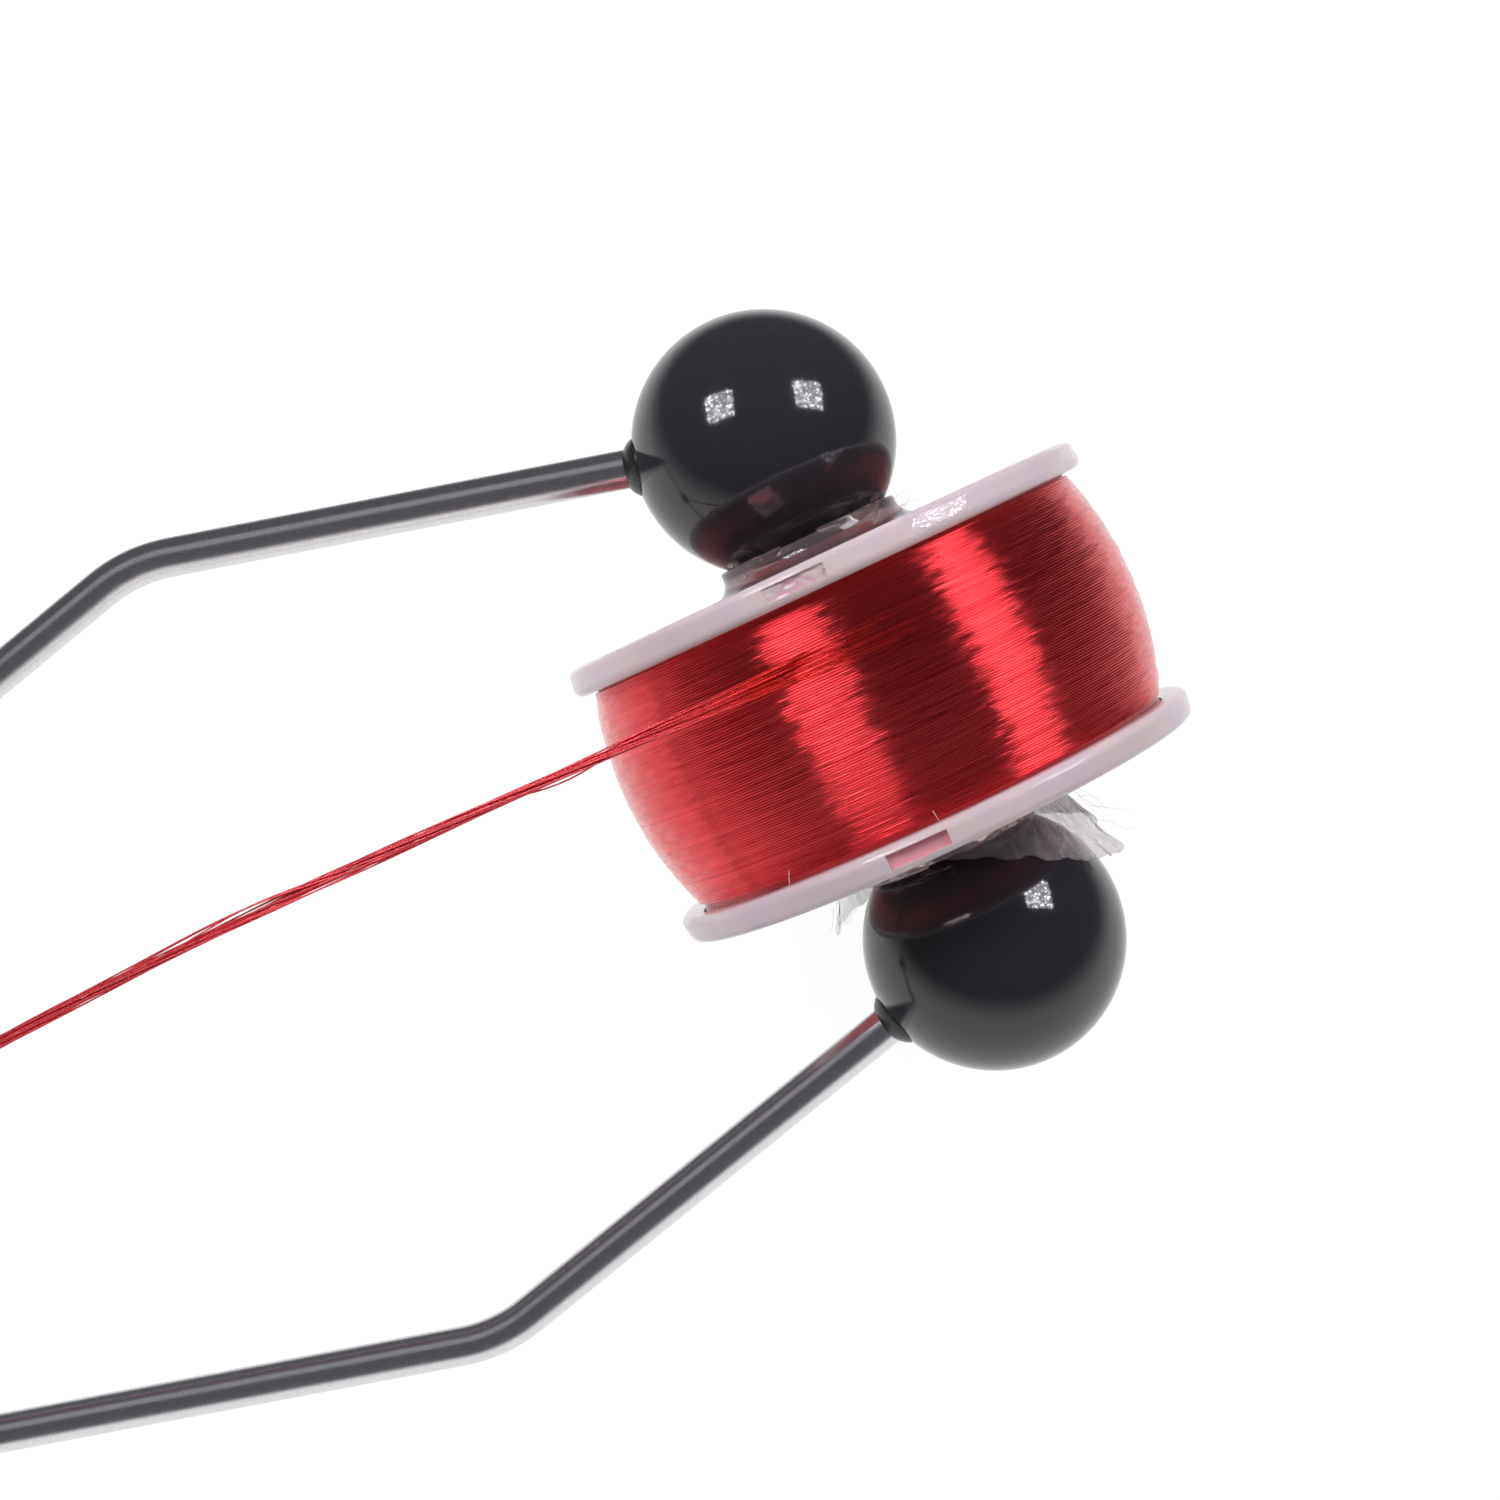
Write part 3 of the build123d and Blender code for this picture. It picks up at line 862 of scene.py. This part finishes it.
def winding_form():
    """One filament wound side by side from flange to flange, over a plain core."""
    reach = HALF_WOUND - WINDING_GAP
    turns = int(2 * reach / FILAMENT_PITCH)
    n = FILAMENT_SEGMENTS
    rows = len(FILAMENT_DIPS)
    form = Form()
    for m in range(turns * n + 1):
        angle = 2 * math.pi * m / n
        start = -reach + FILAMENT_PITCH * m / n
        place = round_spool(angle, start / WANDER_ACROSS, WANDER_ROUND)
        wander = WANDER * noise.noise(Vector((place.x, place.z, place.y)))
        lie = lie_of(angle, start)
        spot = Vector((start / TONE_ACROSS, angle * TONE_ROUND, TONE_SEED))
        tone = 0.5 + TONE * noise.noise(spot)
        for j, dip in enumerate(FILAMENT_DIPS):
            y = min(max(start + FILAMENT_PITCH * j / rows + wander, -reach), reach)
            form.verts.append(round_spool(angle, y, winding_radius(y) + lie - dip))
            form.shades.append(min(max(tone, 0.0), 1.0))
    for m in range((turns - 1) * n):
        for j in range(rows):
            here = m * rows + j
            up = here + 1 if j < rows - 1 else (m + n) * rows
            form.faces.append((here, here + rows, up + rows, up))
    end = HALF_WOUND - CORE_GAP
    across = [end * i / CORE_STEPS for i in range(-CORE_STEPS, CORE_STEPS + 1)]
    outline = [(winding_radius(y) - FILAMENT_DIPS[0] - CORE_DEPTH, y) for y in across]
    outline += [(HUB_R + CORE_GAP, end), (HUB_R + CORE_GAP, -end)]
    verts, faces = lathe(outline, SPOOL_SEGMENTS)
    form.add(moved(verts, facing((0, 0, 0), (0, 1, 0))), faces, CORE_SHADE)
    return form


def laid_filament(form, first, last, ends, lifts, shade):
    """A filament that lies on the winding from one angle to another and sinks in at both ends."""
    path = []
    for i in range(LAID_STEPS + 1):
        t = i / LAID_STEPS
        angle = math.radians(first + (last - first) * t)
        drift = LAID_DRIFT * t * noise.noise(Vector((t * 4, ends[0] * 7, 0)))
        y = ends[0] + (ends[1] - ends[0]) * t + drift
        at_end = max(0.0, (t - LAID_SINK_FROM) / (1 - LAID_SINK_FROM)) ** 1.5
        at_start = max(0.0, 1 - t / LAID_START) ** 2
        sink = LAID_SINK * (at_end + at_start)
        lift = lifts[0] + (lifts[1] - lifts[0]) * min(1.0, t * 3)
        path.append(round_spool(angle, y, winding_radius(y) + lift - sink))
    verts, faces = tube(path, filament_radius(0), FILAMENT_SIDES, Vector((0, 1, 0)))
    form.add(verts, faces, shade)


def bundle_half(s):
    """Half the width of the free thread's bundle at a length from its start."""
    return LEAD_W / 2 - FILAMENT_R + LEAD_FAN / 2 * max(0.0, 1 - s / LEAD_FAN_L) ** 1.5


def filament_radius(s):
    """A filament's radius at a length from the bundle's start, where it is half as thick."""
    return FILAMENT_R * (0.5 + 0.5 * min(1.0, s / LEAD_FAN_L))


def place_in_bundle(i):
    """A filament's place in the bundle: its angle and its share of the radius."""
    return 2 * math.pi * (i + 0.35) / LEAD_FILAMENTS, 0.5 if i % 3 == 0 else 1.0


def crossing_form():
    """The last strand where it fans out over the winding."""
    form = Form()
    leave = Vector(LEAD_POINTS[0])
    first = math.degrees(math.atan2(leave.x, leave.z)) + CROSSING_BACK
    for i in range(LEAD_FILAMENTS):
        around, inner = place_in_bundle(i)
        across = bundle_half(0) * inner * math.cos(around)
        y = leave.y + across
        lift = math.hypot(leave.x, leave.z) - winding_radius(y)
        start = y - CROSSING_NARROW * across + CROSSING_SHIFTS[0]
        end = y + CROSSING_SHIFTS[1] + across * dice.uniform(*CROSSING_SPREAD)
        last = CROSSING_END - dice.uniform(0, CROSSING_RAGGED)
        lifts = (lift, dice.uniform(0, CROSSING_LIFT))
        laid_filament(form, first, last, (start, end), lifts, dice.uniform(0.2, 1))
    return form


# Torn film and loose fibres


def film_at(degrees):
    """Reach, lean and cover of the film at an angle."""
    for low, high in zip(FILM_EDGE, FILM_EDGE[1:]):
        if degrees <= high[0]:
            break
    t = (degrees - low[0]) / (high[0] - low[0])
    t = t * t * (3 - 2 * t)
    return [a + (b - a) * t for a, b in zip(low[1:], high[1:])]


def film_form():
    """A ragged skirt of film that hugs the ball in front and stands off at the sides."""
    form = Form()
    for i in range(FILM_COLUMNS):
        degrees = FILM_EDGE[0][0] + 360 * i / FILM_COLUMNS
        reach, lean, cover = film_at(degrees)
        a, lean = math.radians(degrees), math.radians(lean)
        ring = Vector((math.cos(a), math.sin(a), 0))
        tear = 1 + sum(size * noise.noise(ring * fine) for size, fine in FILM_TEARS)
        for j in range(FILM_ROWS):
            along = reach * tear * j / (FILM_ROWS - 1)
            spot = ring * FILM_FOLDS + Vector((0, 0, along * FILM_FOLD_CHANGE))
            fold = FILM_FOLD * along * noise.noise(spot)
            r = FILM_FOOT_R + along * math.sin(lean) + fold
            y = FILM_FOOT_Y + along * math.cos(lean)
            ball = (BALL_R + FILM_GAP) ** 2 - (y - BALL_Y) ** 2
            r = max(r, math.sqrt(max(ball, 0.0)))
            form.verts.append(Vector((-r * math.sin(a), y, r * math.cos(a))))
            form.shades.append(cover)
    form.faces = ring_faces(FILM_ROWS, FILM_COLUMNS, closed=False)
    return form


def add_fibre(form, start, way, length, curl, seed, shade=FIBRE_COVER):
    """A loose fibre that wanders off from a point."""
    point, heading = Vector(start), Vector(way).normalized()
    path = [point]
    for i in range(FIBRE_STEPS):
        stray = noise.noise_vector(Vector((seed * 3.7, i * 0.19, 0.5)))
        heading = (heading + stray * curl).normalized()
        point = point + heading * length / FIBRE_STEPS
        path.append(point)
    radii = [FIBRE_R * (1 - FIBRE_TAPER * i / FIBRE_STEPS) for i in range(FIBRE_STEPS + 1)]
    verts, faces = tube(path, radii, FIBRE_SIDES, Vector((0.31, 0.52, 0.79)))
    form.add(verts, faces, shade)


def fibres_form():
    """Fibres at the torn edges of the film, a few on the other collar, and two on the winding."""
    form = Form()
    for i in range(6):
        start = (-6.1 - dice.uniform(0, 0.4), 7.6 + dice.uniform(0, 1.6), dice.uniform(-1.5, 2.5))
        add_fibre(form, start, (-0.7, 0.8, dice.uniform(-0.3, 0.3)), dice.uniform(1.2, 2.6), 0.28, i)
    for i in range(9, 12):
        start = (5.6 + dice.uniform(0, 0.5), 7.5 + dice.uniform(0, 1.0), dice.uniform(-1.5, 2.0))
        add_fibre(form, start, (0.55, 0.85, dice.uniform(-0.2, 0.2)), dice.uniform(1.2, 2.8), 0.16, i)
    for i in range(18, 23):
        start = (-4.25, -7.0 - dice.uniform(0, 0.6), dice.uniform(0.5, 1.5))
        add_fibre(form, start, (-0.8, -0.2, 0.6), dice.uniform(0.6, 1.3), 0.2, i)
    add_fibre(form, (0.41, 4.94, 11.65), (-0.05, 0.62, 1.0), 0.9, 0.04, 31, 1.0)
    add_fibre(form, (6.96, 4.84, 9.6), (0.3, 0.61, 0.6), 0.8, 0.04, 32, 1.0)
    return form


# Free thread


def lead_path():
    """Points read from the smooth spline that has the route's points as its control points."""
    curve = bpy.data.curves.new("route", "CURVE")
    curve.dimensions = "3D"
    curve.resolution_u = LEAD_STEPS
    spline = curve.splines.new("NURBS")
    spline.points.add(len(LEAD_POINTS) - 1)
    for point, place in zip(spline.points, LEAD_POINTS):
        point.co = (*place, 1.0)
    spline.order_u = 3
    spline.use_endpoint_u = True
    route = bpy.data.objects.new("route", curve)
    mesh = bpy.data.meshes.new_from_object(route)
    path = [v.co.copy() for v in mesh.vertices]
    bpy.data.objects.remove(route)
    return path


def lead_form(path):
    """A flat bundle of filaments that turns slowly along the route, and the route's length."""
    form = Form()
    gone = [0.0]
    for before, here in zip(path, path[1:]):
        gone.append(gone[-1] + (here - before).length)
    for i in range(LEAD_FILAMENTS):
        around, inner = place_in_bundle(i)
        points = []
        for k, point in enumerate(path):
            way = (path[min(k + 1, len(path) - 1)] - path[max(k - 1, 0)]).normalized()
            side = (Vector((0, 1, 0)) - way * way.y).normalized()
            up = way.cross(side)
            s = gone[k]
            open_up = min(1.0, s / LEAD_OPEN_L)
            spot = Vector((s / LEAD_STRAY_L, i * 3.1, 0))
            stray = 1 + LEAD_STRAY * open_up * noise.noise(spot)
            wide = bundle_half(s) * inner * stray
            thick = (LEAD_T / 2 - FILAMENT_R) * inner * open_up
            a, b = wide * math.cos(around), thick * math.sin(around)
            turn = 2 * math.pi * max(0.0, s - LEAD_STRAIGHT) / LEAD_TWIST
            across = a * math.cos(turn) - b * math.sin(turn)
            above = a * math.sin(turn) + b * math.cos(turn)
            for loose, middle, half, aside in LEAD_LOOSE:
                if loose == i and abs(s - middle) < half:
                    share = math.cos(math.pi / 2 * (s - middle) / half) ** 2
                    across += (aside - across) * share
            dive_length = LEAD_DIVE_L + math.sin(5 * i)
            dive = LEAD_DIVE * max(0.0, 1 - s / dive_length) ** 2
            inward = Vector((-point.x, 0, -point.z)).normalized()
            points.append(point + side * across + up * above + inward * dive)
        radii = [filament_radius(s) for s in gone]
        verts, faces = tube(points, radii, FILAMENT_SIDES, Vector((0, 1, 0)))
        form.add(verts, faces, dice.uniform(0.35, 1))
    return form, gone[-1]


# Stage, lamps and camera


def picture_axes():
    """The picture's right, up and towards the camera, in the drawing frame."""
    back = VIEW_LEAN.normalized()
    right = Vector((math.cos(VIEW_TURN), math.sin(VIEW_TURN), 0))
    right = (right - back * right.dot(back)).normalized()
    return right, back.cross(right), back


def add_camera():
    """The camera that takes the photo's view."""
    right, up, back = picture_axes()
    data = bpy.data.cameras.new("camera")
    data.sensor_width = SENSOR
    data.lens = SENSOR * VIEW_DISTANCE / VIEW_WIDTH
    data.clip_start, data.clip_end = VIEW_CLIP
    camera = bpy.data.objects.new("camera", data)
    turn = (TURNED @ Matrix((right, up, back)).transposed()).to_4x4()
    camera.matrix_world = Matrix.Translation(DRAWN @ (VIEW_AIM + back * VIEW_DISTANCE)) @ turn
    bpy.context.scene.collection.objects.link(camera)
    bpy.context.scene.camera = camera


def aim_lamp(name, data, way, roll):
    """Places a lamp that faces the spool."""
    right, up, back = picture_axes()
    toward = (right * way[0] + up * way[1] + back * way[2]).normalized()
    lamp = bpy.data.objects.new(name, data)
    square = (right - toward * right.dot(toward)).normalized()
    square = Matrix.Rotation(math.radians(roll), 3, toward) @ square
    turn = (TURNED @ Matrix((square, toward.cross(square), toward)).transposed()).to_4x4()
    lamp.matrix_world = Matrix.Translation(DRAWN @ (toward * LAMP_DISTANCE)) @ turn
    bpy.context.scene.collection.objects.link(lamp)
    return lamp


def add_panel(name, way, roll):
    """A square panel of bright dots."""
    data = bpy.data.lights.new(name, "AREA")
    data.shape = "SQUARE"
    data.size = LAMP_WIDTH * MM
    data.color = LAMP_COLOUR
    data.energy = LAMP_RADIANCE * math.pi * data.size**2
    data.use_nodes = True
    tree = data.node_tree
    shader = tree.nodes["Emission"]
    spot = add_node(tree, "ShaderNodeNewGeometry").outputs["Parametric"]
    inputs = {"Vector": spot, "Scale": LAMP_DOTS, "Randomness": LAMP_DOT_CHANCE}
    dots = add_node(tree, "ShaderNodeTexVoronoi", inputs).outputs["Distance"]
    feed(tree, shader.inputs["Strength"], span(tree, dots, *LAMP_DOT_EDGE, *LAMP_DOT_GLOW))
    return aim_lamp(name, data, way, roll)


def add_strip(name):
    """A long soft light."""
    data = bpy.data.lights.new(name, "AREA")
    data.shape = "RECTANGLE"
    data.size = STRIP_LENGTH * MM
    data.size_y = STRIP_WIDTH * MM
    data.color = STRIP_COLOUR
    data.energy = STRIP_RADIANCE * math.pi * data.size * data.size_y
    return aim_lamp(name, data, STRIP_WAY, STRIP_ROLL)


def light_only(lamps, pieces, state):
    """Lets lamps light only these pieces, or all but these."""
    group = bpy.data.collections.new(f"lit_{state.lower()}")
    for piece in pieces:
        group.objects.link(piece)
    for member in group.collection_objects:
        member.light_linking.link_state = state
    for lamp in lamps:
        lamp.light_linking.receiver_collection = group


def add_world():
    """A dark room over a white table, with a white wall low on the near side."""
    right, up, back = (TURNED @ axis for axis in picture_axes())
    world = bpy.data.worlds.new("room")
    bpy.context.scene.world = world
    world.use_nodes = True
    tree = world.node_tree
    shader = tree.nodes["Background"]
    way = add_node(tree, "ShaderNodeTexCoord").outputs["Generated"]
    lean = (back + up * ROOM_LEAN).normalized()
    tilt = vector_calc(tree, "DOT_PRODUCT", way, lean)
    white = span(tree, tilt, *ROOM_EDGE, 1.0, 0.0, interpolation_type="SMOOTHSTEP")
    room = blend_colours(tree, white, ROOM_DARK, WHITE)
    seen = add_node(tree, "ShaderNodeLightPath").outputs["Is Camera Ray"]
    feed(tree, shader.inputs["Color"], blend_colours(tree, seen, room, WHITE))


def table_material():
    """White, and brighter to the camera than to the part, with the shadow kept."""
    made, tree, shader = new_material("white_table")
    tree.nodes.remove(shader)
    plain = add_node(tree, "ShaderNodeBsdfDiffuse", {"Color": TABLE_WHITE}).outputs[0]
    dim = add_node(tree, "ShaderNodeBsdfDiffuse", {"Color": TABLE_DIM}).outputs[0]
    glow = add_node(tree, "ShaderNodeEmission", {"Strength": TABLE_GLOW}).outputs[0]
    both = add_node(tree, "ShaderNodeAddShader", {0: dim, 1: glow}).outputs[0]
    path = add_node(tree, "ShaderNodeLightPath").outputs
    seen = calc(tree, "MAXIMUM", path["Is Camera Ray"], path["Is Transmission Ray"])
    mixed = add_node(tree, "ShaderNodeMixShader", {0: seen, 1: plain, 2: both}).outputs[0]
    feed(tree, tree.nodes["Material Output"].inputs["Surface"], mixed)
    return made


def add_table():
    """A white table that keeps a faint shadow."""
    half, drop = TABLE_HALF * MM, TABLE_DROP * MM
    corners = [(-half, -half), (half, -half), (half, half), (-half, half)]
    mesh = bpy.data.meshes.new("table")
    mesh.from_pydata([(x, y, -drop) for x, y in corners], [], [(0, 1, 2, 3)])
    mesh.materials.append(table_material())
    table = bpy.data.objects.new("table", mesh)
    bpy.context.scene.collection.objects.link(table)
    table.visible_glossy = False


# Put together

add_camera()
add_world()
add_table()
lamps = enumerate(zip(LAMP_WAYS, LAMP_ROLLS), 1)
panels = [add_panel(f"panel_{i}", *lamp) for i, lamp in lamps]
strip = add_strip("strip")
bpy.context.scene.view_settings.view_transform = "Standard"

red = thread_material()
loose_red = loose_thread_material()
black = ball_material()
gunmetal = wire_material("gunmetal_wire", 0.78)
glue = glue_material()

wires = []
for hand, flip in (("left", False), ("right", True)):
    body = f"{hand}_arm"
    ball = add_object(f"visual_{hand}_ball", ball_form(), flip)
    sharpen(ball, SHARP_TURNED)
    dress(ball, black, body, "black_ball", f"{hand}_ball")
    bead = add_object(f"visual_{hand}_glue_bead", bead_form(), flip)
    dress(bead, glue, body, "adhesive", f"{hand}_glue_bead")
    wire = add_object(f"visual_{hand}_arm_wire", wire_form(), flip)
    sharpen(wire, SHARP_TURNED)
    wires.append(dress(wire, gunmetal, body, "gunmetal_wire", f"{hand}_arm_wire"))
light_only(panels, wires, "EXCLUDE")
light_only([strip], wires, "INCLUDE")

left_plastic = spool_material("left_spool_plastic", LEFT_POCKET_PAINTED_GLOW)
spool_half("visual_spool_half_left", False, False, left_plastic)
right_plastic = spool_material("right_spool_plastic", RIGHT_POCKET_PAINTED_GLOW)
spool_half("visual_spool_half_right", True, True, right_plastic)

winding = add_object("visual_winding", winding_form())
dress(winding, red, "spool", "red_thread", "thread_core", "thread_turns")
crossing = add_object("visual_last_strand", crossing_form())
sharpen(crossing, SHARP_FILAMENT)
dress(crossing, loose_red, "spool", "red_thread")

route = lead_path()
bundle, lead_length = lead_form(route)
lead = add_object("visual_free_thread", bundle)
sharpen(lead, SHARP_FILAMENT)
dress(lead, loose_red, "barrel", "red_thread", "thread_lead")

film = film_material()
skirt = add_object("visual_torn_label", film_form())
thickness = skirt.modifiers.new("thickness", "SOLIDIFY")
thickness.thickness = FILM_T * MM
thickness.offset = 0
dress(skirt, film, "spool", "label_film", "torn_label")
dress(add_object("visual_label_fibres", fibres_form()), film, "spool", "label_film")

nodes = frame["nodes"]
finishes = {
    "barrel_tube": steel_material(),
    "tip_ring": ceramic_material(),
    "rear_ring": ceramic_material(),
    "yoke": wire_material("yoke_metal", 0.5),
    "left_arm_tang": gunmetal,
    "right_arm_tang": gunmetal,
}
for name, finish in finishes.items():
    nodes[name].data.materials.clear()
    nodes[name].data.materials.append(finish)
